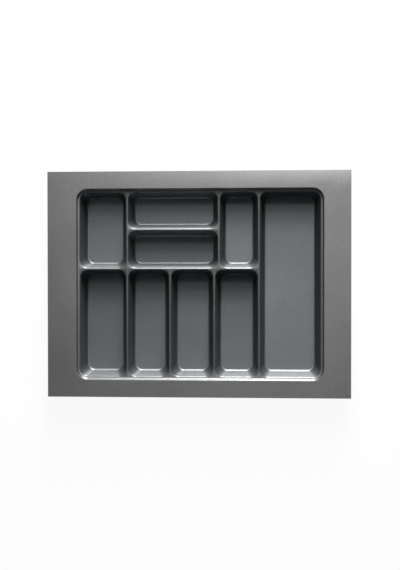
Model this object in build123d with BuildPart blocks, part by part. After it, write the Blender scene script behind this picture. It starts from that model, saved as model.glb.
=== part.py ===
from build123d import *
import os
from math import cos, radians, tan

# A drawer insert for cutlery, thermoformed from one plastic sheet: a flat flange that is
# cut to fit the drawer, a small step down to a ledge, and nine pans hung from that ledge
# with narrow hollow dividers between them. Lengths are millimetres and angles degrees.
# The origin is the middle of the outline at the underside of the pans: +X is to the right
# of someone at the open drawer, +Y goes to the back of the drawer, and +Z is up.

# Outline and height
tray_width = 697.0
tray_depth = 520.0
tray_height = 50.0

# Width of the flat flange on each side, up to the edge of the recess
flange_left = 68.0
flange_right = 62.6
flange_front = 41.4
flange_back = 41.4

# Sheet: as supplied in the flange, and thinner where it is drawn down
flange_sheet = 2.0
formed_sheet = 1.5

# Step from the flange down to the ledge round the pans
step_depth = 6.0
step_draft = 10.0
step_corner_radius = 25.0
step_edge_radius = 3.0
step_root_radius = 2.0
step_under_edge_radius = 1.0
step_collar = 6.0
ledge_width = 5.3

# Pans and the dividers between them
web_width = 5.0
pan_draft = 13.0
pan_corner_radius = 18.0
pan_edge_radius = 2.0
pan_under_edge_radius = 0.5
pan_floor_radius = 5.0

# Middle lines of the dividers, as shares of the field of pans from its left and front edges
first_column_share = 0.198
second_column_share = 0.3775
third_column_share = 0.561
cross_column_share = 0.581
long_column_share = 0.7467
front_row_share = 0.5835
cross_row_share = 0.7965

# How far a cutting shape runs past the face that it cuts
overrun = 1.0

# Levels
deck_level = tray_height - step_depth
floor_level = formed_sheet

# Recess edge in the plane of the flange
recess_left = flange_left - tray_width / 2
recess_right = tray_width / 2 - flange_right
recess_front = flange_front - tray_depth / 2
recess_back = tray_depth / 2 - flange_back

# Field of pans: the rectangle through the outermost pan walls, at the level of the ledge
step_slope = tan(radians(step_draft))
field_margin = step_depth * step_slope + ledge_width
field_left = recess_left + field_margin
field_right = recess_right - field_margin
field_front = recess_front + field_margin
field_back = recess_back - field_margin

pan_slope = tan(radians(pan_draft))
half_web = web_width / 2
wall_reach = formed_sheet / cos(radians(pan_draft))
step_wall_reach = formed_sheet / cos(radians(step_draft))


def column(share):
    """The x of a divider's middle line."""
    return field_left + share * (field_right - field_left)


def row(share):
    """The y of a divider's middle line."""
    return field_front + share * (field_back - field_front)


def centre_plane(left, right, front, back, level):
    """A horizontal plane with its origin over the middle of a rectangle."""
    return Plane(origin=((left + right) / 2, (front + back) / 2, level))


def tapered_tub(bounds, reach, slope, corner, mouth, top, bottom):
    """A solid tub with drafted walls and corners of one radius all the way down.

    Its walls pass through the bounds, widened by reach, at the level called mouth.
    """
    left, right, front, back = bounds
    with BuildPart() as tub:
        for level in (top, bottom):
            grow = 2 * (reach + (level - mouth) * slope)
            with BuildSketch(centre_plane(left, right, front, back, level)):
                RectangleRounded(right - left + grow, back - front + grow, corner)
        loft(ruled=True)
    return tub


def field_outline_sides():
    """Width, depth and corner radius of the seam between the ledge and the outer pans."""
    return (
        field_right - field_left + web_width,
        field_back - field_front + web_width,
        pan_corner_radius + half_web,
    )


def make_pan(label, left, right, front, back):
    """One pan with its lip, which reaches to the middle of the dividers round it.

    The four bounds are the lines where its walls would meet the plane of the ledge.
    """
    bounds = (left, right, front, back)
    cavity = tapered_tub(
        bounds, 0, pan_slope, pan_corner_radius, deck_level, deck_level + overrun, floor_level
    )
    with BuildPart() as hollow:
        add(cavity.part)
        fillet(hollow.faces().sort_by(Axis.Z)[0].edges(), pan_floor_radius)

    outside = tapered_tub(
        bounds, wall_reach, pan_slope, pan_corner_radius + wall_reach,
        deck_level, deck_level - formed_sheet / 2, 0,
    )
    with BuildPart() as shell:
        add(outside.part)
        fillet(shell.faces().sort_by(Axis.Z)[0].edges(), pan_floor_radius + formed_sheet)

    field_width, field_depth, field_corner = field_outline_sides()
    lip_level = deck_level - formed_sheet
    with BuildPart() as pan:
        with BuildSketch(Plane.XY.offset(lip_level)):
            with Locations(((left + right) / 2, (front + back) / 2)):
                Rectangle(right - left + web_width, back - front + web_width)
            with Locations(((field_left + field_right) / 2, (field_front + field_back) / 2)):
                RectangleRounded(field_width, field_depth, field_corner, mode=Mode.INTERSECT)
        extrude(amount=formed_sheet)
        add(shell.part)
        add(hollow.part, mode=Mode.SUBTRACT)
        mouth = pan.faces().filter_by(Axis.Z).sort_by(Axis.Z)[-1].inner_wires()[0].edges()
        fillet(mouth, pan_edge_radius)
        lip_under = pan.faces().filter_by(Axis.Z).group_by(Axis.Z)[-2][0]
        fillet(lip_under.inner_wires()[0].edges(), pan_under_edge_radius)
    pan.part.label = label
    return pan


def make_recess_step():
    """The step between the flange and the ledge, with a collar of flange and the ledge."""
    bounds = (recess_left, recess_right, recess_front, recess_back)
    hollow = tapered_tub(
        bounds, 0, step_slope, step_corner_radius, tray_height, tray_height + overrun, deck_level
    )
    outside = tapered_tub(
        bounds, step_wall_reach, step_slope, step_corner_radius + step_wall_reach,
        tray_height, tray_height - flange_sheet / 2, deck_level - formed_sheet,
    )
    with BuildPart() as body:
        add(outside.part)
        under_root = body.faces().sort_by(Axis.Z)[0].edges()
        fillet(under_root, step_root_radius + formed_sheet)

    with BuildPart() as cavity:
        add(hollow.part)
        root = cavity.faces().sort_by(Axis.Z)[0].edges()
        fillet(root, step_root_radius)

    collar = centre_plane(*bounds, tray_height - flange_sheet)
    field_width, field_depth, field_corner = field_outline_sides()
    with BuildPart() as step:
        with BuildSketch(collar):
            Rectangle(
                recess_right - recess_left + 2 * step_collar,
                recess_back - recess_front + 2 * step_collar,
            )
        extrude(amount=flange_sheet)
        add(body.part)
        add(cavity.part, mode=Mode.SUBTRACT)
        with BuildSketch(
            centre_plane(field_left, field_right, field_front, field_back, deck_level + overrun)
        ):
            RectangleRounded(field_width, field_depth, field_corner)
        extrude(amount=-formed_sheet - 2 * overrun, mode=Mode.SUBTRACT)
        top = step.faces().filter_by(Axis.Z).sort_by(Axis.Z)[-1]
        fillet(top.inner_wires()[0].edges(), step_edge_radius)
        collar_level = tray_height - flange_sheet
        collar_under = step.faces().filter_by(Axis.Z).filter_by_position(
            Axis.Z, collar_level - formed_sheet / 2, collar_level + formed_sheet / 2
        )[0]
        fillet(collar_under.inner_wires()[0].edges(), step_under_edge_radius)
    step.part.label = "recess_step"
    return step


def make_trim_flange():
    """The flat border that is cut to fit the drawer, outside the collar of the step."""
    with BuildPart() as flange:
        with BuildSketch(Plane.XY.offset(tray_height - flange_sheet)):
            Rectangle(tray_width, tray_depth)
            with Locations(((recess_left + recess_right) / 2, (recess_front + recess_back) / 2)):
                Rectangle(
                    recess_right - recess_left + 2 * step_collar,
                    recess_back - recess_front + 2 * step_collar,
                    mode=Mode.SUBTRACT,
                )
        extrude(amount=flange_sheet)
    flange.part.label = "trim_flange"
    return flange


# Walls of each pan: a divider's middle line moved by half a web, or the edge of the field
first_column = column(first_column_share)
second_column = column(second_column_share)
third_column = column(third_column_share)
cross_column = column(cross_column_share)
long_column = column(long_column_share)
front_row = row(front_row_share)
cross_row = row(cross_row_share)

# Name, then the left, right, front and back walls
pan_table = [
    ("front_pan_1", field_left, first_column - half_web, field_front, front_row - half_web),
    ("front_pan_2", first_column + half_web, second_column - half_web,
     field_front, front_row - half_web),
    ("front_pan_3", second_column + half_web, third_column - half_web,
     field_front, front_row - half_web),
    ("front_pan_4", third_column + half_web, long_column - half_web,
     field_front, front_row - half_web),
    ("back_left_pan", field_left, first_column - half_web, front_row + half_web, field_back),
    ("front_cross_pan", first_column + half_web, cross_column - half_web,
     front_row + half_web, cross_row - half_web),
    ("back_cross_pan", first_column + half_web, cross_column - half_web,
     cross_row + half_web, field_back),
    ("back_right_pan", cross_column + half_web, long_column - half_web,
     front_row + half_web, field_back),
]

os.makedirs("parts", exist_ok=True)
trim_flange = make_trim_flange()
export_step(trim_flange.part, "parts/trim_flange.step")
recess_step = make_recess_step()
export_step(recess_step.part, "parts/recess_step.step")
for name, *walls in pan_table:
    pan = make_pan(name, *walls)
    export_step(pan.part, f"parts/{name}.step")

# The long pan is two regions, which meet in line with the divider behind the front pans
long_pan = make_pan("long_pan", long_column + half_web, field_right, field_front, field_back)
for name, kept_side in (("long_pan_front", Keep.TOP), ("long_pan_back", Keep.BOTTOM)):
    with BuildPart() as long_pan_region:
        add(long_pan.part)
        split(bisect_by=Plane.XZ.offset(-front_row), keep=kept_side)
    long_pan_region.part.label = name
    export_step(long_pan_region.part, f"parts/{name}.step")
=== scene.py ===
"""A formed cutlery tray for a kitchen drawer, dressed and lit for a studio picture.

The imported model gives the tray's frame: the outline, the recess and each pan come from the
boxes of its nodes. The section of the formed sheet is given by the sizes of TraySection.
Lengths are metres, and angles are radians.
"""

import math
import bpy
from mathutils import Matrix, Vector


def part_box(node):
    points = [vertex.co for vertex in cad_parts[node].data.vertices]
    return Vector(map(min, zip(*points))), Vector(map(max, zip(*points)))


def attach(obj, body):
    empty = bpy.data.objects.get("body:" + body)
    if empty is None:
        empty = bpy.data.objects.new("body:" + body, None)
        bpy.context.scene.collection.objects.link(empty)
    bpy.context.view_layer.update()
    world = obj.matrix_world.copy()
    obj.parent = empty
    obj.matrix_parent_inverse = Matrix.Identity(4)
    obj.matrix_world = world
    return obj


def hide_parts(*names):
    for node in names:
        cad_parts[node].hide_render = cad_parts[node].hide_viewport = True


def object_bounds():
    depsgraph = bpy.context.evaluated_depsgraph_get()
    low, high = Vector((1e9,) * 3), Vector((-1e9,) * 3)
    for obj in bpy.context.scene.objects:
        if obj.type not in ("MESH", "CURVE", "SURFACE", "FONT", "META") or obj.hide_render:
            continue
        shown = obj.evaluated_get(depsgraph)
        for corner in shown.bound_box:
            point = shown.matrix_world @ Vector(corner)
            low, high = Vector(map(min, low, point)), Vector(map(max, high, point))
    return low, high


bl_info = {
    "name": "Formed cutlery tray",
    "version": (1, 0, 0),
    "blender": (4, 5, 0),
    "location": "View3D > Sidebar > Tray",
    "description": "Builds the sheet, the finish and the studio of a cutlery tray",
    "category": "Add Mesh",
}

import bpy
import numpy as np
from bpy.props import FloatProperty, FloatVectorProperty, IntProperty, PointerProperty
from bpy.types import Operator, Panel, PropertyGroup
from mathutils import Matrix, Vector

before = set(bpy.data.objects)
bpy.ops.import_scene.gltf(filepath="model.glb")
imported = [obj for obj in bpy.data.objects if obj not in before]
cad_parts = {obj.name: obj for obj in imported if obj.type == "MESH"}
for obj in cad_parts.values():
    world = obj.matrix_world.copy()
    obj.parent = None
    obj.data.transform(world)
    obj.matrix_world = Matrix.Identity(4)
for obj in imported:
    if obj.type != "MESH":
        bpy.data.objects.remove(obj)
cad_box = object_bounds()

BODY = "root"
PANS = {
    "back_left_pan": ("back_left_pan",),
    "back_cross_pan": ("back_cross_pan",),
    "front_cross_pan": ("front_cross_pan",),
    "back_right_pan": ("back_right_pan",),
    "long_pan": ("long_pan_front", "long_pan_back"),
    "front_pan_1": ("front_pan_1",),
    "front_pan_2": ("front_pan_2",),
    "front_pan_3": ("front_pan_3",),
    "front_pan_4": ("front_pan_4",),
}

# Lamps: azimuth and elevation in degrees, distance, width and height in metres, and watts
LAMPS = {
    "foot_softbox": (83.5, 5.0, 4.0, 0.9, 0.45, 92.0),
    "low_softbox": (84.5, 12.0, 4.0, 0.9, 0.5, 162.0),
    "key_softbox": (83.0, 24.0, 4.0, 1.1, 1.1, 175.0),
    "high_softbox": (91.0, 38.0, 4.0, 1.6, 0.9, 57.0),
    "top_softbox": (89.0, 54.0, 4.0, 1.7, 0.7, 19.5),
    "right_fill": (45.0, 60.0, 4.0, 1.0, 1.0, 2.0),
    "left_fill": (135.0, 60.0, 4.0, 1.0, 1.0, 4.0),
}


def length(name, description, default, low=0.0, high=1.0):
    """A length property in metres."""
    return FloatProperty(
        name=name, description=description, default=default, min=low, max=high,
        unit="LENGTH", precision=5,
    )


def angle(name, description, default):
    """An angle property, shown in degrees."""
    return FloatProperty(
        name=name, description=description, default=math.radians(default),
        min=0.0, max=math.radians(45.0), subtype="ANGLE",
    )


def share(name, description, default):
    """A plain number from nothing to one."""
    return FloatProperty(
        name=name, description=description, default=default, min=0.0, max=1.0, subtype="FACTOR"
    )


def colour(name, description, default):
    """A colour property, in linear light."""
    return FloatVectorProperty(
        name=name, description=description, default=default, subtype="COLOR", size=3,
        min=0.0, max=1.0,
    )


class TraySection(PropertyGroup):
    """Sizes of the formed sheet in section."""

    flange_sheet: length("Flange sheet", "Thickness of the sheet as supplied", 0.002)
    formed_sheet: length("Formed sheet", "Thickness where the sheet is drawn down", 0.0015)
    edge_round: length("Edge round", "Radius worn on the cut outer edge", 0.00025)
    crown: FloatVectorProperty(
        name="Crown", size=4, default=(0.02, 0.02, 0.0, 0.072),
        description="Slope that the flange's shading takes outwards at its edges",
    )
    twist: FloatVectorProperty(
        name="Twist", size=2, default=(0.003, 0.055),
        description="What the slope gains to the right along the front and back edges",
    )
    step_collar: length("Step collar", "Flat flange that belongs to the step", 0.006)
    step_draft: angle("Step draft", "Lean of the step's wall", 10.0)
    step_corner: length("Step corner", "Corner radius of the recess", 0.025)
    step_roll: length("Step roll", "Radius from the flange into the step", 0.003)
    step_root: length("Step root", "Radius from the step into the ledge", 0.002)
    step_under_roll: length("Step under roll", "Radius under the step's roll", 0.001)
    step_depth: length("Step depth", "Drop from the flange to the ledge", 0.006)
    ledge_lean: angle("Ledge lean", "Slope towards the pans in the ledge's and webs' shading", 12.0)
    web: length("Web", "Width of a divider between its walls' lines", 0.005)
    pan_draft: angle("Pan draft", "Lean of the pans' walls", 13.0)
    pan_corner: length("Pan corner", "Corner radius of the pans", 0.018)
    pan_roll: length("Pan roll", "Radius from the ledge into a pan", 0.002)
    pan_under_roll: length("Pan under roll", "Radius under a pan's roll", 0.0005)
    pan_floor: length("Pan floor", "Radius from a pan's wall into its floor", 0.005)


class TrayMesh(PropertyGroup):
    """How finely the surfaces are divided."""

    corner_steps: IntProperty(
        name="Corner steps", description="Faces round a quarter turn, an even number",
        default=16, min=4, max=64,
    )
    roll_steps: IntProperty(
        name="Roll steps", description="Faces over a roll or fillet", default=8, min=2, max=32
    )
    wall_steps: IntProperty(
        name="Wall steps", description="Faces down a pan's wall", default=8, min=1, max=32
    )
    step_steps: IntProperty(
        name="Step steps", description="Faces down the step's wall", default=2, min=1, max=32
    )
    side_step: length("Side step", "Longest face along a straight side", 0.008)


class TrayFinish(PropertyGroup):
    """Colour and surface of the plastic."""

    colour: colour("Colour", "Colour of the flange and the ledge", (0.220, 0.220, 0.220))
    drawn_colour: colour("Drawn colour", "Colour where the sheet is drawn deepest",
                         (0.209, 0.222, 0.228))
    sawn_colour: colour("Sawn colour", "Colour of the cut edge", (0.23, 0.23, 0.225))
    roughness: share("Roughness", "Roughness of the satin surface", 0.48)
    sawn_roughness: share("Sawn roughness", "Roughness of the cut edge", 0.7)
    brushed: share("Brushed", "How far the sheen is drawn out from front to back", 0.5)
    streak: length("Streak", "Width of the faint streaks from side to side", 0.0008)
    streak_tone: share("Streak tone", "How much the streaks change the colour", 0.10)
    metallic: share("Metal flake", "How metallic the flake in the plastic looks", 0.85)
    gloss: share("Clear gloss", "Gloss of the plastic itself, over its flake", 0.1)
    rim_gloss: share("Rim gloss", "Flake's gloss where it is seen edge on", 0.2)
    fleck: length("Fleck", "Size of the flake's specks", 0.0009)
    fleck_tone: share("Fleck tone", "How much lighter the brightest specks are", 0.30)
    cloud: length("Cloud", "Size of the faint clouds in the colour", 0.11)
    cloud_tone: share("Cloud tone", "How much the clouds change the colour", 0.06)
    # Painted shade: the tone darkens the rolled edges, the ledge and the webs' tops to tone down
    # their highlights; only the smoother roughness there is wear.
    wear_and_shade_tone: share("Wear and shade tone", "How much darker the edges and the webs are rubbed", 0.34)
    grain: length("Grain", "Size of the fine grain in the surface", 0.0006)
    grain_depth: length("Grain depth", "Height of the fine grain", 0.00001)
    wave: length("Wave", "Size of the faint waves in a formed sheet", 0.045)
    wave_depth: length("Wave depth", "Height of the faint waves", 0.00005)


class TrayStudio(PropertyGroup):
    """Camera, lamps and floor."""

    camera_place: FloatVectorProperty(
        name="Camera place", description="Where the camera stands", subtype="TRANSLATION",
        size=3, default=(0.12796, 0.02821, 2.16526),
    )
    camera_pitch: FloatProperty(
        name="Camera pitch", description="Turn of the camera about the tray's width",
        default=-0.0140, subtype="ANGLE",
    )
    camera_roll: FloatProperty(
        name="Camera roll", description="Turn of the camera about the tray's depth",
        default=0.0583, subtype="ANGLE",
    )
    lens: FloatProperty(
        name="Lens", description="Focal length in millimetres", default=58.42, min=1.0
    )
    lamp_target: FloatVectorProperty(
        name="Lamp target", description="Point that the lamps look at", subtype="TRANSLATION",
        size=3, default=(0.0, 0.0, 0.03),
    )
    floor_radius: length("Floor radius", "How far the floor is level", 18.0, 1.0, 100.0)
    cove_height: length("Cove height", "How far the backdrop rises round it", 2.0, 0.0, 10.0)
    floor_colour: colour("Floor colour", "Colour that the floor bounces", (0.80, 0.80, 0.80))
    floor_glow: share("Floor glow", "How white the floor is by itself to the camera", 0.93)
    floor_shade: share("Floor shade", "How much of the light and shadow the camera sees", 0.07)
    sky: colour("Sky", "Even light from all round", (0.0335, 0.041, 0.0448))


# Scales that draw a noise out: streaks from side to side, and saw marks upright
STREAK_SCALE = (0.012, 1.0, 1.0)
MARK_SCALE = (1.0, 1.0, 0.06)
MARKS_PER_METRE = 1800.0

# Power that the flecks' random value is raised to, and the means of flecks and noises
FLECK_POWER = 3.0
FLECK_MEAN = 0.25
NOISE_MEAN = 0.5

# Share of the grain that full drawing takes off, and how the wear and the painted shade on the
# rolled edges are broken up
DRAWN_GRAIN_LOSS = 0.6
WEAR_AND_SHADE_LEAST = 0.35
WEAR_AND_SHADE_RANGE = 0.8

# What clouds, wear and saw marks add to the roughness
CLOUD_ROUGHNESS = 0.08
WORN_ROUGHNESS = -0.06
MARK_ROUGHNESS = -0.2

# The cut edge: tone and height of its marks, its darker colour, and its metal flake
MARK_TONE = 0.5
MARK_DEPTH = 0.00006
SAWN_SHADE = 0.9
SAWN_METALLIC = 0.3

# Turn of the sheen from the brushing, as a share of a full turn
SHEEN_TURN = 0.25

# The floor: faces round it, levels of its backdrop, and radius of its middle face in metres
FLOOR_TURNS = 96
FLOOR_LEVELS = 13
FLOOR_MIDDLE = 0.5


# Loops round a rounded rectangle


def loop_columns(corner_steps, steps_x, steps_y):
    """Columns once round a rounded rectangle, counter-clockwise from the front side.

    Returns weights and outs, both (n, 2). A point of the loop is the middle, plus the weights
    times the reach from the middle to the corner arcs' centres, plus the radius times the way
    out. Along a side one weight runs from -1 to 1 and the way out is square to the side.
    Round a corner both weights stay and the way out turns by a quarter. With no corner steps
    the corners are square, and each has one column.
    """
    weights, outs = [], []
    corners = np.array([(1, -1), (1, 1), (-1, 1), (-1, -1)], float)
    turn = np.arange(corner_steps) / max(corner_steps, 1)
    for side, corner in enumerate(corners):
        steps = steps_y if side % 2 else steps_x
        part = (np.arange(steps) / steps)[:, None]
        start = corners[side - 1]
        weights.append(start + part * (corner - start))
        straight = (side - 1) * math.pi / 2
        outs.append(np.tile((math.cos(straight), math.sin(straight)), (steps, 1)))
        weights.append(np.tile(corner, (corner_steps, 1)))
        bend = straight + turn * math.pi / 2
        outs.append(np.stack((np.cos(bend), np.sin(bend)), 1))
    return np.concatenate(weights), np.concatenate(outs)


def loop_points(columns, bounds, radius, height, reach=0.0):
    """Points of one loop: (n, 3).

    The rounded rectangle has the corner radius given, and its corner arcs' centres lie as far
    inside the bounds as reach says. Radius, reach and height may differ from column to column.
    """
    weights, outs = columns
    left, right, front, back = bounds
    middle = np.array(((left + right) / 2, (front + back) / 2))
    half = np.array(((right - left) / 2, (back - front) / 2))
    radius = np.broadcast_to(radius, len(outs))[:, None]
    reach = np.broadcast_to(reach, len(outs))[:, None]
    flat = middle + weights * (half - reach) + radius * outs
    return np.column_stack((flat, np.broadcast_to(height, len(outs))))


def square_radius(columns, radius, square):
    """The distance along the way out to a loop whose marked corners are square.

    A square corner is met along the ray from the corner arc's centre, at the radius over the
    larger part of the way out. The marks are for the corners front right, back right, back
    left and front left.
    """
    weights, outs = columns
    corner = np.where(weights[:, 0] > 0, np.where(weights[:, 1] > 0, 1, 0),
                      np.where(weights[:, 1] > 0, 2, 3))
    ray = radius / np.abs(outs).max(1)
    return np.where(np.array(square)[corner], ray, radius)


# Section of the sheet, carried round the loops


def lean_angles(columns, slope):
    """The angle of a drafted wall's normal below the level, in each column.

    A corner keeps its radius all the way down, so its wall leans along the diagonal, and the
    tangent of the angle is the slope times the sum of the way out's two parts.
    """
    return np.arctan(slope * np.abs(columns[1]).sum(1))


def roll_rings(columns, slope, corner, line_level, level, radius, steps, hollow=False):
    """Rings over a roll between a level surface and a drafted wall, from the level to the wall.

    A ball of the radius given touches both surfaces. Its own level is off the surface by the
    radius, and the wall's line there sets the corner arcs' centres. The ring at an angle phi
    below the level has the corner radius, plus or minus the ball's radius times the difference
    of the cosines of the wall's angle and phi, and stands off the ball's level by the ball's
    radius times the sine of phi. Returns reach, corner radius, height and phi, each (k, n).
    A hollow roll is the fillet at the foot of the wall, and a full one is the edge at its top.
    """
    lean = lean_angles(columns, slope)[None, :]
    part = np.linspace(0.0, 1.0, steps + 1)[:, None]
    phi = math.pi / 2 + part * (lean - math.pi / 2)
    side = -1.0 if hollow else 1.0
    ball = level - side * radius
    wall_level = ball + side * radius * np.sin(lean)
    reach = corner + slope * (line_level - wall_level) + 0.0 * phi
    ring = corner + side * radius * (np.cos(lean) - np.cos(phi))
    height = ball + side * radius * np.sin(phi)
    return reach, ring, height, phi


def wall_rings(columns, slope, corner, line_level, top, bottom, steps):
    """Rings down a drafted wall between two heights, both (n,), without the end rings.

    The corner arcs' centres move in by the slope times the depth below the line's level.
    """
    part = np.linspace(0.0, 1.0, steps + 1)[1:-1, None]
    height = top + part * (bottom - top)
    reach = corner + slope * (line_level - height)
    phi = lean_angles(columns, slope)[None, :] + 0.0 * height
    return reach, corner + 0.0 * height, height, phi


def drafted_skin(columns, bounds, slope, corner, line_level, top, top_roll, foot, foot_roll,
                 roll_steps, wall_steps, rubbed_and_shaded=False, top_lean=0.0, foot_lean=0.0):
    """Points, upward normals and wear with painted shade of a skin from a level edge down a drafted
    wall.

    The wall passes through the bounds at the line's level. The skin is the roll at the top,
    the wall and the fillet at the foot, as rings from the outside inwards. The normal of every
    ring turns inwards from the vertical by ninety degrees less phi. The wear, which also carries
    the painted shade that darkens the roll, rises and falls over the roll as half a sine wave, or
    goes from full to none as a quarter of a cosine where the level surface beside it is worn and
    shaded too. The leans are further turns of the normals at the level ends of the roll and of
    the fillet, and fade evenly to the wall.
    """
    upper = roll_rings(columns, slope, corner, line_level, top, top_roll, roll_steps)
    lower = roll_rings(columns, slope, corner, line_level, foot, foot_roll, roll_steps,
                       hollow=True)
    lower = [part[::-1] for part in lower]
    wall = wall_rings(
        columns, slope, corner, line_level, upper[2][-1], lower[2][0], wall_steps
    )
    reach, ring, height, phi = (np.concatenate(parts) for parts in zip(upper, wall, lower))
    points = np.stack([
        loop_points(columns, bounds, ring[k], height[k], reach[k]) for k in range(len(phi))
    ])
    turn = np.linspace(0.0, 1.0, roll_steps + 1)[:, None]
    phi[: roll_steps + 1] -= top_lean * (1.0 - turn)
    phi[-roll_steps - 1 :] -= foot_lean * turn
    outs = np.broadcast_to(columns[1], (len(phi),) + columns[1].shape)
    normals = np.concatenate((-np.cos(phi)[..., None] * outs, np.sin(phi)[..., None]), 2)
    # The roll's wear mask also sets painted shade: the material darkens the roll by it
    worn_and_shaded = np.zeros(phi.shape)
    worn_and_shaded[: roll_steps + 1] = (
        np.cos(turn * math.pi / 2) if rubbed_and_shaded else np.sin(turn * math.pi)
    )
    return points, normals, worn_and_shaded


def flat_ring(points, up=True, wear_and_shade=0.0, tilt=0.0):
    """A ring of points with one wear and painted shade, as drafted_skin gives them.

    The normals are upright, or lean by the level part that the tilt gives in x and y.
    """
    tilt = np.broadcast_to(tilt, (len(points), 2))
    upright = np.sqrt(1.0 - (tilt ** 2).sum(1)) * (1.0 if up else -1.0)
    return points[None], np.column_stack((tilt, upright))[None], np.full((1, len(points)), wear_and_shade)


# Meshes


def ring_faces(rings, columns, start=0, closed=False):
    """Quads between rings of points numbered ring by ring, facing up where rings go inwards."""
    ring = np.arange(rings if closed else rings - 1)[:, None]
    column = np.arange(columns)[None, :]
    following = (ring + 1) % rings
    beside = (column + 1) % columns
    faces = np.stack((
        ring * columns + column,
        ring * columns + beside,
        following * columns + beside,
        following * columns + column,
    ), 2)
    return faces.reshape(-1, 4) + start


def patch(loop, across, along):
    """Fills a loop of points with a grid of quads, as a Coons patch.

    The loop starts at the patch's front left corner and goes counter-clockwise, with across
    faces along the front and along faces up the right side. A point inside is the mean of the
    lines between opposite sides, less the mean of the four corners. Returns all the grid's
    points (along + 1, across + 1, 3).
    """
    front = loop[: across + 1]
    right = loop[across : across + along + 1]
    back = loop[across + along : 2 * across + along + 1][::-1]
    left = np.concatenate((loop[2 * across + along :], loop[:1]))[::-1]
    u = np.linspace(0.0, 1.0, across + 1)[None, :, None]
    v = np.linspace(0.0, 1.0, along + 1)[:, None, None]
    lines = (1 - v) * front[None] + v * back[None] + (1 - u) * left[:, None] + u * right[:, None]
    corners = ((1 - u) * (1 - v) * front[0] + u * (1 - v) * front[-1]
               + (1 - u) * v * back[0] + u * v * back[-1])
    return lines - corners


def grid_faces(numbers):
    """Quads over a grid of vertex numbers, facing up where it runs right and back."""
    return np.stack((
        numbers[:-1, :-1], numbers[:-1, 1:], numbers[1:, 1:], numbers[1:, :-1]
    ), 2).reshape(-1, 4)


def capped(points, normals, worn_and_shaded, faces, ring_start, count, across, along, shift, up):
    """Closes a ring of vertices with a patch and returns the longer arrays.

    The ring's numbers are turned by shift, so that they start at the patch's corner.
    """
    ring = ring_start + (np.arange(count) + shift) % count
    grid = patch(points[ring], across, along)
    numbers = np.full(grid.shape[:2], -1)
    numbers[0, :] = ring[: across + 1]
    numbers[:, -1] = ring[across : across + along + 1]
    numbers[-1, ::-1] = ring[across + along : 2 * across + along + 1]
    numbers[::-1, 0] = np.append(ring[2 * across + along :], ring[0])
    inside = numbers < 0
    numbers[inside] = len(points) + np.arange(inside.sum())
    points = np.concatenate((points, grid[inside]))
    level = np.broadcast_to((0.0, 0.0, 1.0 if up else -1.0), (inside.sum(), 3))
    normals = np.concatenate((normals, level))
    worn_and_shaded = np.append(worn_and_shaded, np.zeros(inside.sum()))
    quads = grid_faces(numbers)
    faces = np.concatenate((faces, quads if up else quads[:, ::-1]))
    return points, normals, worn_and_shaded, faces


def joined(rings):
    """Joins rings of points, normals and wear with painted shade, and numbers their vertices one
    after another.
    """
    points, normals, worn_and_shaded = (np.concatenate(parts) for parts in zip(*rings))
    return points.reshape(-1, 3), normals.reshape(-1, 3), worn_and_shaded.ravel(), len(points)


def new_piece(name, points, normals, worn_and_shaded, faces, hard, nodes, materials, slots=None):
    """Makes a closed mesh piece that stands for CAD nodes and rides with the tray.

    Faces marked hard take their own flat normal, and all others the normals given. The wear,
    which also marks the painted shade on the rolls, the ledge and the webs, goes into the
    attribute "roll". The attribute "draw" is how far the sheet is drawn, which is
    the root of its depth below the flange as a share of the tray's height.
    """
    mesh = bpy.data.meshes.new(name)
    mesh.from_pydata(points, [], faces)
    mesh.shade_smooth()
    for material in materials:
        mesh.materials.append(material)
    if slots is not None:
        mesh.polygons.foreach_set("material_index", np.asarray(slots, np.int32))
    corner_normals = normals[faces]
    first = points[faces[:, 2]] - points[faces[:, 0]]
    second = points[faces[:, 3]] - points[faces[:, 1]]
    flat = np.cross(first, second)
    flat /= np.linalg.norm(flat, axis=1, keepdims=True)
    corner_normals = np.where(hard[:, None, None], flat[:, None, :], corner_normals)
    mesh.normals_split_custom_set(corner_normals.reshape(-1, 3))
    top = cad_box[1][2]
    drawn = np.sqrt(np.clip((top - points[:, 2]) / (top - cad_box[0][2]), 0.0, 1.0))
    for label, values in (("roll", worn_and_shaded), ("draw", drawn)):
        attribute = mesh.attributes.new(label, "FLOAT", "POINT")
        attribute.data.foreach_set("value", values.astype(np.float32))
    mesh.update()
    piece = bpy.data.objects.new(name, mesh)
    bpy.context.scene.collection.objects.link(piece)
    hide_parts(*nodes)
    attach(piece, BODY)


def node_bounds(*nodes):
    """Left, right, front and back of CAD nodes, and their lowest and highest level."""
    boxes = np.array([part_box(node) for node in nodes])
    low, high = boxes[:, 0].min(0), boxes[:, 1].max(0)
    return (low[0], high[0], low[1], high[1]), low[2], high[2]


def grown(bounds, reach):
    """Left, right, front and back, moved outwards by a reach."""
    left, right, front, back = bounds
    return left - reach, right + reach, front - reach, back + reach


def side_steps(bounds, corner, step):
    """How many faces of about one step fill the straight front side and the right side."""
    left, right, front, back = bounds
    return [
        max(1, round((span - 2 * corner) / step)) for span in (right - left, back - front)
    ]


def field_bounds():
    """The rectangle round all the pans' lips."""
    return node_bounds(*(node for nodes in PANS.values() for node in nodes))[0]


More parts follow.
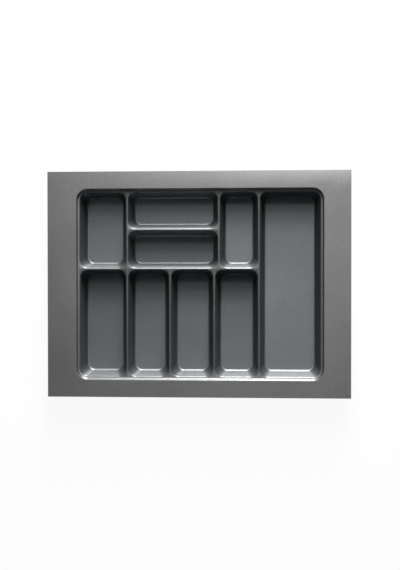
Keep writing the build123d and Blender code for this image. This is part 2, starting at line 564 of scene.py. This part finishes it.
def build_pan(name, section, fine, materials):
    """One pan: the lip, the roll, the wall, the floor fillet and the floor, on both sides."""
    lip, low, deck = node_bounds(*PANS[name])
    half_web = section.web / 2
    bounds = grown(lip, -half_web)
    slope = math.tan(section.pan_draft)
    sheet = section.formed_sheet
    wall_sheet = sheet / math.cos(section.pan_draft)
    corner_steps = fine.corner_steps
    across, along = side_steps(bounds, section.pan_corner, fine.side_step)
    columns = loop_columns(corner_steps, across, along)
    field = field_bounds()
    at_field = [abs(lip[k] - field[k]) < half_web for k in range(4)]
    square = [
        not (at_field[1] and at_field[2]),
        not (at_field[1] and at_field[3]),
        not (at_field[0] and at_field[3]),
        not (at_field[0] and at_field[2]),
    ]
    lip_radius = square_radius(columns, section.pan_corner + half_web, square)
    inner = drafted_skin(
        columns, bounds, slope, section.pan_corner, deck, deck, section.pan_roll,
        low + sheet, section.pan_floor, fine.roll_steps, fine.wall_steps,
        rubbed_and_shaded=True, top_lean=section.ledge_lean,
    )
    wide = grown(bounds, wall_sheet)
    outer, outer_normals, _ = drafted_skin(
        columns, wide, slope, section.pan_corner + wall_sheet, deck, deck - sheet,
        section.pan_under_roll, low, section.pan_floor + sheet, fine.roll_steps, fine.wall_steps,
    )
    edge = loop_points(columns, bounds, lip_radius, deck, section.pan_corner)
    edge_below = edge - (0.0, 0.0, sheet)
    count = len(columns[0])
    beside_ledge = np.where(columns[1] < 0, at_field[0::2], at_field[1::2])
    tilt = -math.sin(section.ledge_lean) * columns[1] * beside_ledge
    # The lip ring is fully worn: the webs' tops get the painted shade and the smoother roughness
    top = joined([flat_ring(edge, wear_and_shade=1.0, tilt=tilt), inner])
    below = joined([
        flat_ring(edge_below, up=False), (outer, -outer_normals, np.zeros(outer.shape[:2]))
    ])
    points, normals, worn_and_shaded = (np.concatenate(parts) for parts in zip(top[:3], below[:3]))
    top_rings, low_rings = top[3], below[3]
    skin = ring_faces(top_rings, count)
    under = ring_faces(low_rings, count, top_rings * count)[:, ::-1]
    seam = np.stack((
        np.arange(count), top_rings * count + np.arange(count),
        top_rings * count + (np.arange(count) + 1) % count, (np.arange(count) + 1) % count,
    ), 1)
    faces = np.concatenate((skin, under, seam))
    hard = np.zeros(len(faces), bool)
    hard[-count:] = True
    shift = count - corner_steps // 2
    for start, up in (((top_rings - 1) * count, True),
                      ((top_rings + low_rings - 1) * count, False)):
        points, normals, worn_and_shaded, faces = capped(
            points, normals, worn_and_shaded, faces, start, count, across + corner_steps,
            along + corner_steps, shift, up,
        )
    hard = np.append(hard, np.zeros(len(faces) - len(hard), bool))
    new_piece(f"{name}_sheet", points, normals, worn_and_shaded, faces, hard, PANS[name], materials)


def build_step(section, fine, materials):
    """The recess's rolled edge, its step and the ledge round the pans, on both sides."""
    collar, _, top = node_bounds("recess_step")
    reach = section.step_collar
    bounds = grown(collar, -reach)
    deck = top - section.step_depth
    slope = math.tan(section.step_draft)
    wall_sheet = section.formed_sheet / math.cos(section.step_draft)
    columns = loop_columns(
        fine.corner_steps, *side_steps(bounds, section.step_corner, fine.side_step)
    )
    inner = drafted_skin(
        columns, bounds, slope, section.step_corner, top, top, section.step_roll,
        deck, section.step_root, fine.roll_steps, fine.step_steps,
        foot_lean=section.ledge_lean,
    )
    wide = grown(bounds, wall_sheet)
    outer, outer_normals, _ = drafted_skin(
        columns, wide, slope, section.step_corner + wall_sheet, top, top - section.flange_sheet,
        section.step_under_roll, deck - section.formed_sheet,
        section.step_root + section.formed_sheet, fine.roll_steps, fine.step_steps,
    )
    collar_radius = square_radius(columns, section.step_corner + reach, [True] * 4)
    rim = loop_points(columns, bounds, collar_radius, top, section.step_corner)
    field_corner = section.pan_corner + section.web / 2
    seam = loop_points(columns, field_bounds(), field_corner, deck, field_corner)
    points, normals, worn_and_shaded, rings = joined([
        flat_ring(rim),
        inner,
        # The ledge is fully worn: it gets the painted shade and the smoother roughness
        flat_ring(seam, wear_and_shade=1.0, tilt=-math.sin(section.ledge_lean) * columns[1]),
        flat_ring(seam - (0.0, 0.0, section.formed_sheet), up=False),
        (outer[::-1], -outer_normals[::-1], np.zeros(outer.shape[:2])),
        flat_ring(rim - (0.0, 0.0, section.flange_sheet), up=False),
    ])
    count = len(columns[0])
    faces = ring_faces(rings, count, closed=True)
    ring = np.repeat(np.arange(rings), count)
    hard = (ring == len(inner[0]) + 1) | (ring == rings - 1)
    new_piece(
        "recess_step_sheet", points, normals, worn_and_shaded, faces, hard, ["recess_step"], materials
    )


def crown_normals(points, hole, outline, crown, twist):
    """Normals of a sheet that curves evenly outwards from a hole to its edges.

    On each side the slope grows in line with the distance from the hole, up to the crown that
    is given for the left, right, front and back edges. The twist is added to the front and
    back crown at the right end, and taken off at the left end. The points stay level.
    """
    slopes = []
    across = points[:, 0] / outline[1]
    for axis in (0, 1):
        low_side, high_side = 2 * axis, 2 * axis + 1
        low, high = (
            np.clip((points[:, axis] - hole[k]) / (outline[k] - hole[k]), 0.0, 1.0)
            for k in (low_side, high_side)
        )
        low_gain, high_gain = (axis * gain * across for gain in twist)
        slopes.append(
            (crown[high_side] + high_gain) * high - (crown[low_side] + low_gain) * low
        )
    normals = np.column_stack((*slopes, np.ones(len(points))))
    return normals / np.linalg.norm(normals, axis=1, keepdims=True)


def build_flange(section, fine, materials):
    """The flat border, with its hole at the step's collar and a faint round on its cut edge."""
    outline, low, top = node_bounds("trim_flange")
    hole = node_bounds("recess_step")[0]
    columns = loop_columns(0, *side_steps(outline, 0.0, fine.side_step))
    edge = section.edge_round
    quarter = np.linspace(0.0, math.pi / 2, fine.roll_steps // 2 + 1)
    inward = edge * (1.0 - np.sin(quarter))
    drop = edge * (1.0 - np.cos(quarter))
    heights = np.concatenate(((top - drop), (low + drop)[::-1]))
    insets = np.concatenate((inward, inward[::-1]))
    tilt = np.concatenate((quarter, math.pi - quarter[::-1]))
    crown, twist = section.crown, section.twist
    outs = np.where(np.abs(columns[0]) == 1.0, columns[0], 0.0)
    outs /= np.linalg.norm(outs, axis=1, keepdims=True)
    rings = [flat_ring(loop_points(columns, hole, 0.0, top))]
    for inset, height, lean in zip(insets, heights, tilt):
        points = loop_points(columns, outline, 0.0, height, inset)
        normals = np.column_stack((
            math.sin(lean) * outs, np.full(len(outs), math.cos(lean))
        ))
        if lean == 0.0:
            normals = crown_normals(points, hole, outline, crown, twist)
        rings.append((points[None], normals[None], np.full((1, len(outs)), math.sin(lean) ** 2)))
    rings.append(flat_ring(loop_points(columns, hole, 0.0, low), up=False))
    points, normals, worn_and_shaded, rings = joined(rings)
    count = len(columns[0])
    faces = ring_faces(rings, count, closed=True)[:, ::-1]
    ring = np.repeat(np.arange(rings), count)
    sawn = (ring > 0) & (ring < rings - 2)
    hard = (ring == rings - 1) | (ring == rings - 2)
    new_piece(
        "trim_flange_sheet", points, normals, worn_and_shaded, faces, hard, ["trim_flange"], materials,
        sawn.astype(int),
    )


# Materials


def put(tree, kind, inputs=None, **settings):
    """Adds a node with its settings. An input is given as a value or as a socket to link."""
    node = tree.nodes.new(kind)
    for name, value in settings.items():
        setattr(node, name, value)
    for name, value in (inputs or {}).items():
        if isinstance(value, bpy.types.NodeSocket):
            tree.links.new(value, node.inputs[name])
        else:
            node.inputs[name].default_value = value
    return node


def reckon(tree, operation, *values):
    """The result of a Math node on values or sockets."""
    return put(tree, "ShaderNodeMath", dict(enumerate(values)), operation=operation).outputs[0]


def group_with(name, inputs, outputs):
    """An empty shader node group with sockets for plain numbers, and its two end nodes."""
    group = bpy.data.node_groups.new(name, "ShaderNodeTree")
    for kind, labels in (("INPUT", inputs), ("OUTPUT", outputs)):
        for label in labels:
            group.interface.new_socket(label, in_out=kind, socket_type="NodeSocketFloat")
    return group, group.nodes.new("NodeGroupInput"), group.nodes.new("NodeGroupOutput")


def plastic_group():
    """Surface of the plastic, from sizes in metres.

    Height is the fine grain, which fades where the sheet is drawn, plus the sheet's faint
    waves. Fleck is a few bright specks of flake, the cube of a random value for each cell.
    Cloud is a slow change of tone. Drawn and Worn and shaded come from the piece's attributes,
    and the wear, with the painted shade on the rolled edges, is broken up by the grain of a
    coarser noise.
    """
    name = "Formed plastic surface"
    if name in bpy.data.node_groups:
        return bpy.data.node_groups[name]
    tree, source, out = group_with(
        name,
        ("Fleck size", "Streak size", "Cloud size", "Grain size", "Grain depth", "Wave size",
         "Wave depth"),
        ("Height", "Fleck", "Streak", "Cloud", "Drawn", "Worn and shaded"),
    )
    place = put(tree, "ShaderNodeTexCoord").outputs["Object"]

    def noise(size, detail, vector=place):
        scale = reckon(tree, "DIVIDE", 1.0, source.outputs[size])
        texture = put(tree, "ShaderNodeTexNoise", {
            "Vector": vector, "Scale": scale, "Detail": detail,
        })
        return texture.outputs["Fac"]

    streaky = put(tree, "ShaderNodeMapping", {"Vector": place, "Scale": STREAK_SCALE})
    drawn = put(tree, "ShaderNodeAttribute", attribute_name="draw").outputs["Fac"]
    rolled = put(tree, "ShaderNodeAttribute", attribute_name="roll").outputs["Fac"]
    cells = put(tree, "ShaderNodeTexVoronoi", {
        "Vector": place, "Scale": reckon(tree, "DIVIDE", 1.0, source.outputs["Fleck size"]),
    })
    chance = put(tree, "ShaderNodeSeparateColor", {0: cells.outputs["Color"]}).outputs[0]
    left_grain = reckon(tree, "MULTIPLY_ADD", drawn, -DRAWN_GRAIN_LOSS, 1.0)
    grain = reckon(tree, "MULTIPLY", noise("Grain size", 2.0), source.outputs["Grain depth"])
    grain = reckon(tree, "MULTIPLY", grain, left_grain)
    height = reckon(
        tree, "MULTIPLY_ADD", noise("Wave size", 1.0), source.outputs["Wave depth"], grain
    )
    # A coarse noise breaks up the wear and the painted shade on the rolled edges
    rubbed_and_shaded = reckon(tree, "MULTIPLY_ADD", noise("Wave size", 6.0), WEAR_AND_SHADE_RANGE, WEAR_AND_SHADE_LEAST)
    worn_and_shaded = reckon(tree, "MULTIPLY", rolled, rubbed_and_shaded)
    for label, socket in (
        ("Height", height), ("Fleck", reckon(tree, "POWER", chance, FLECK_POWER)),
        ("Cloud", noise("Cloud size", 3.0)),
        ("Streak", noise("Streak size", 3.0, streaky.outputs["Vector"])),
        ("Drawn", drawn), ("Worn and shaded", worn_and_shaded),
    ):
        tree.links.new(socket, out.inputs[label])
    return tree


def plastic_surface(tree, finish):
    """The surface group, placed in a material with the finish's sizes."""
    return put(tree, "ShaderNodeGroup", {
        "Fleck size": finish.fleck, "Streak size": finish.streak,
        "Cloud size": finish.cloud, "Grain size": finish.grain,
        "Grain depth": finish.grain_depth, "Wave size": finish.wave,
        "Wave depth": finish.wave_depth,
    }, node_tree=plastic_group()).outputs


def new_material(name):
    """A material with nodes, and its node tree."""
    material = bpy.data.materials.new(name)
    material.use_nodes = True
    return material, material.node_tree


def dress(tree, shader, colour, tone, rough, height):
    """Links a toned colour, a roughness and a height in metres to a Principled shader."""
    bump = put(tree, "ShaderNodeBump", {"Distance": 1.0, "Height": height})
    tree.links.new(toned(tree, colour, tone), shader.inputs["Base Color"])
    tree.links.new(rough, shader.inputs["Roughness"])
    tree.links.new(bump.outputs["Normal"], shader.inputs["Normal"])


def mixed(tree, factor, first, second):
    """The mix of two colours by a factor, through the colour sockets of a Mix node."""
    return put(tree, "ShaderNodeMix", {
        "Factor": factor, 6: (*first, 1.0), 7: (*second, 1.0),
    }, data_type="RGBA").outputs[2]


def toned(tree, colour, tone):
    """A colour, lighter or darker by a tone that is one where nothing changes."""
    return put(
        tree, "ShaderNodeVectorMath", {0: colour, "Scale": tone}, operation="SCALE"
    ).outputs["Vector"]


def formed_plastic(name, finish):
    """Satin anthracite plastic with a metal flake, as it comes from the mould.

    The colour goes from the flange's to the drawn one with depth. Its tone is one, plus the
    flecks, the streaks and clouds about their middle, less the wear, which is painted shade
    on the rolled edges, the ledge and the webs' tops. The sheet is faintly brushed from side to
    side, which is the tangent's way. Its sheen is drawn out across that, from front to back and
    down the front and back walls, a quarter turn from the tangent.
    """
    material, tree = new_material(name)
    shader = tree.nodes["Principled BSDF"]
    surface = plastic_surface(tree, finish)
    base = mixed(tree, surface["Drawn"], finish.colour, finish.drawn_colour)
    tone = reckon(tree, "MULTIPLY_ADD", surface["Fleck"], finish.fleck_tone,
                  1.0 - FLECK_MEAN * finish.fleck_tone
                  - NOISE_MEAN * (finish.cloud_tone + finish.streak_tone))
    tone = reckon(tree, "MULTIPLY_ADD", surface["Streak"], finish.streak_tone, tone)
    tone = reckon(tree, "MULTIPLY_ADD", surface["Cloud"], finish.cloud_tone, tone)
    # Painted shade: the rolled edges, the ledge and the webs' tops are darkened to tone down their
    # highlights
    tone = reckon(tree, "MULTIPLY_ADD", surface["Worn and shaded"], -finish.wear_and_shade_tone, tone)
    rough = reckon(tree, "MULTIPLY_ADD", surface["Cloud"], CLOUD_ROUGHNESS,
                   finish.roughness - NOISE_MEAN * CLOUD_ROUGHNESS)
    rough = reckon(tree, "MULTIPLY_ADD", surface["Worn and shaded"], WORN_ROUGHNESS, rough)
    dress(tree, shader, base, tone, rough, surface["Height"])
    brush_way = put(tree, "ShaderNodeVectorTransform", {
        "Vector": (1.0, 0.0, 0.0),
    }, convert_from="OBJECT", convert_to="WORLD", vector_type="VECTOR")
    tree.links.new(brush_way.outputs["Vector"], shader.inputs["Tangent"])
    shader.inputs["Anisotropic"].default_value = finish.brushed
    shader.inputs["Anisotropic Rotation"].default_value = SHEEN_TURN
    shader.inputs["Metallic"].default_value = finish.metallic
    shader.inputs["Specular IOR Level"].default_value = finish.gloss
    shader.inputs["Specular Tint"].default_value = (*([finish.rim_gloss] * 3), 1.0)
    return material


def sawn_plastic(name, finish):
    """The cut edge of the flange: lighter, rough, with fine upright saw marks."""
    material, tree = new_material(name)
    shader = tree.nodes["Principled BSDF"]
    surface = plastic_surface(tree, finish)
    place = put(tree, "ShaderNodeTexCoord").outputs["Object"]
    upright = put(tree, "ShaderNodeMapping", {"Vector": place, "Scale": MARK_SCALE})
    marks = put(tree, "ShaderNodeTexNoise", {
        "Vector": upright.outputs["Vector"], "Scale": MARKS_PER_METRE, "Detail": 3.0,
    }).outputs["Fac"]
    tone = reckon(tree, "MULTIPLY_ADD", marks, MARK_TONE, 1.0 - NOISE_MEAN * MARK_TONE)
    tone = reckon(tree, "MULTIPLY_ADD", surface["Fleck"], finish.fleck_tone, tone)
    rough = reckon(tree, "MULTIPLY_ADD", marks, MARK_ROUGHNESS,
                   finish.sawn_roughness - NOISE_MEAN * MARK_ROUGHNESS)
    height = reckon(tree, "MULTIPLY_ADD", marks, MARK_DEPTH, surface["Height"])
    darker = [SAWN_SHADE * part for part in finish.sawn_colour]
    base = mixed(tree, surface["Cloud"], finish.sawn_colour, darker)
    dress(tree, shader, base, tone, rough, height)
    shader.inputs["Metallic"].default_value = SAWN_METALLIC
    return material


def plastic(cut=False):
    """The tray's plastic, formed or sawn, made once for all pieces."""
    name = "Sawn anthracite plastic" if cut else "Formed anthracite plastic"
    make = sawn_plastic if cut else formed_plastic
    return bpy.data.materials.get(name) or make(name, bpy.context.scene.tray_finish)


# Stage


def area_lamp(name, target, azimuth, elevation, distance, width, height, power):
    """A soft rectangular lamp that stands round the target and looks at it."""
    light = bpy.data.lights.new(name, "AREA")
    light.shape = "RECTANGLE"
    light.size, light.size_y = width, height
    light.energy = power
    azimuth, elevation = math.radians(azimuth), math.radians(elevation)
    way = Vector((
        math.cos(elevation) * math.cos(azimuth), math.cos(elevation) * math.sin(azimuth),
        math.sin(elevation),
    ))
    lamp = bpy.data.objects.new(name, light)
    lamp.location = Vector(target) + distance * way
    lamp.rotation_euler = way.to_track_quat("Z", "Y").to_euler()
    lamp.visible_camera = False
    bpy.context.scene.collection.objects.link(lamp)


def floor_material(studio):
    """A floor that the camera sees as white with a faint shadow, and that bounces plain light.

    Camera, glossy and transmission rays meet a glow plus a little diffuse shade. All other
    rays meet the plain diffuse colour.
    """
    material, tree = new_material("Studio floor")
    tree.nodes.remove(tree.nodes["Principled BSDF"])
    rays = put(tree, "ShaderNodeLightPath").outputs
    seen = reckon(tree, "MAXIMUM", rays["Is Camera Ray"], rays["Is Glossy Ray"])
    seen = reckon(tree, "MAXIMUM", seen, rays["Is Transmission Ray"])
    glow = put(tree, "ShaderNodeEmission", {"Strength": studio.floor_glow})
    shade = put(tree, "ShaderNodeBsdfDiffuse", {"Color": (*([studio.floor_shade] * 3), 1.0)})
    plain = put(tree, "ShaderNodeBsdfDiffuse", {"Color": (*studio.floor_colour, 1.0)})
    shown = put(tree, "ShaderNodeAddShader", {0: glow.outputs[0], 1: shade.outputs[0]})
    either = put(tree, "ShaderNodeMixShader", {
        0: seen, 1: plain.outputs[0], 2: shown.outputs[0],
    })
    tree.links.new(either.outputs[0], tree.nodes["Material Output"].inputs["Surface"])
    return material


def build_floor(studio):
    """A round level floor whose rim rises to a low backdrop along a quarter of an ellipse."""
    turn = np.linspace(0.0, 2 * math.pi, FLOOR_TURNS, endpoint=False)
    rise = np.linspace(0.0, math.pi / 2, FLOOR_LEVELS)
    radii = np.append(FLOOR_MIDDLE, studio.floor_radius + studio.cove_height * np.sin(rise))
    heights = np.append(0.0, studio.cove_height * (1 - np.cos(rise)))
    points = np.stack((
        np.outer(radii, np.cos(turn)), np.outer(radii, np.sin(turn)),
        np.repeat(heights[:, None], len(turn), 1),
    ), 2).reshape(-1, 3)
    faces = ring_faces(len(radii), len(turn))[:, ::-1].tolist()
    faces.append(list(range(len(turn))))
    mesh = bpy.data.meshes.new("studio_floor")
    mesh.from_pydata(points, [], faces)
    mesh.shade_smooth()
    mesh.materials.append(floor_material(studio))
    floor = bpy.data.objects.new("studio_floor", mesh)
    bpy.context.scene.collection.objects.link(floor)


class TRAY_OT_flange(Operator):
    """Add the flat flange that is cut to fit the drawer"""

    bl_idname = "tray.flange"
    bl_label = "Flange"

    def execute(self, context):
        scene = context.scene
        build_flange(scene.tray_section, scene.tray_mesh, [plastic(), plastic(cut=True)])
        return {"FINISHED"}


class TRAY_OT_step(Operator):
    """Add the step from the flange down to the ledge"""

    bl_idname = "tray.step"
    bl_label = "Step"

    def execute(self, context):
        scene = context.scene
        build_step(scene.tray_section, scene.tray_mesh, [plastic()])
        return {"FINISHED"}


class TRAY_OT_pans(Operator):
    """Add the nine pans with the webs between them"""

    bl_idname = "tray.pans"
    bl_label = "Pans"

    def execute(self, context):
        scene = context.scene
        for name in PANS:
            build_pan(name, scene.tray_section, scene.tray_mesh, [plastic()])
        return {"FINISHED"}


class TRAY_OT_studio(Operator):
    """Add the floor, the lamps, the sky and the camera"""

    bl_idname = "tray.studio"
    bl_label = "Studio"

    def execute(self, context):
        scene = context.scene
        studio = scene.tray_studio
        build_floor(studio)
        for name, lamp in LAMPS.items():
            area_lamp(name, studio.lamp_target, *lamp)
        world = bpy.data.worlds.new("Studio")
        world.use_nodes = True
        world.node_tree.nodes["Background"].inputs["Color"].default_value = (*studio.sky, 1.0)
        scene.world = world
        camera = bpy.data.objects.new("camera", bpy.data.cameras.new("camera"))
        camera.data.lens = studio.lens
        camera.matrix_world = (
            Matrix.Translation(studio.camera_place)
            @ Matrix.Rotation(studio.camera_pitch, 4, "X")
            @ Matrix.Rotation(studio.camera_roll, 4, "Y")
        )
        scene.collection.objects.link(camera)
        scene.camera = camera
        scene.view_settings.view_transform = "Standard"
        return {"FINISHED"}


class TRAY_PT_panel(Panel):
    """Lists the tray's pieces and settings"""

    bl_idname = "TRAY_PT_panel"
    bl_label = "Cutlery tray"
    bl_space_type = "VIEW_3D"
    bl_region_type = "UI"
    bl_category = "Tray"

    def draw(self, context):
        layout = self.layout
        for operator in OPERATORS:
            layout.operator(operator.bl_idname)
        for group in SETTINGS:
            settings = getattr(context.scene, group)
            for name in settings.bl_rna.properties.keys():
                if name not in {"rna_type", "name"}:
                    layout.prop(settings, name)


SETTINGS = {
    "tray_section": TraySection,
    "tray_mesh": TrayMesh,
    "tray_finish": TrayFinish,
    "tray_studio": TrayStudio,
}
OPERATORS = (TRAY_OT_flange, TRAY_OT_step, TRAY_OT_pans, TRAY_OT_studio)


def register():
    """Registers the classes and puts the settings on the scene."""
    for cls in (*SETTINGS.values(), *OPERATORS, TRAY_PT_panel):
        bpy.utils.register_class(cls)
    for name, cls in SETTINGS.items():
        setattr(bpy.types.Scene, name, PointerProperty(type=cls))


def unregister():
    """Takes the settings off the scene and the classes out again."""
    for name in SETTINGS:
        delattr(bpy.types.Scene, name)
    for cls in (TRAY_PT_panel, *OPERATORS, *SETTINGS.values()):
        bpy.utils.unregister_class(cls)


def main():
    register()
    bpy.ops.tray.flange()
    bpy.ops.tray.step()
    bpy.ops.tray.pans()
    bpy.ops.tray.studio()


if __name__ == "__main__":
    main()
